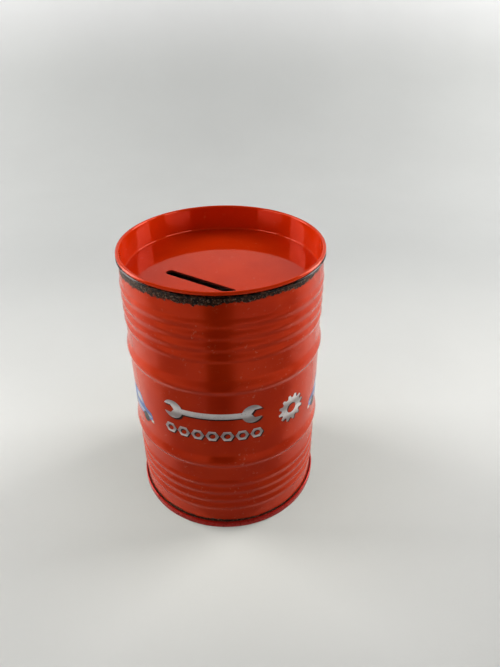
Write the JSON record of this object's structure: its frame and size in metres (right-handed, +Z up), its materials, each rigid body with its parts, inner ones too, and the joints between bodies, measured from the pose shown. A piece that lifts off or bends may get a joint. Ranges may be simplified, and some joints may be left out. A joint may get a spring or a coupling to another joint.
{
  "type": "coin bank",
  "caption": "Drum-shaped tinplate money tin with beads and rolling hoops, a seamed base and a slotted pan lid that lifts off.",
  "frame": {"origin": "on the drum's axis, at the floor that the base's seam ring stands on", "axes": "+Z up along the drum's axis, front facing -Y, lock seam of the body at +Y"},
  "size_m": [0.0814, 0.0814, 0.1171],
  "materials": {
    "body_litho_tin": "glossy lacquer over tinplate",
    "base_litho_tin": "glossy lacquer over tinplate",
    "lid_litho_tin": "high gloss lacquer over tinplate"
  },
  "bodies": {
    "drum": {"body": "body_litho_tin", "base": "base_litho_tin"},
    "lid": {"lid": "lid_litho_tin"}
  },
  "joints": [
    {"name": "lid_lift", "type": "slide", "parent": "drum", "child": "lid", "axis": [0, 0, 1], "range_m": [0, 0.06]}
  ]
}
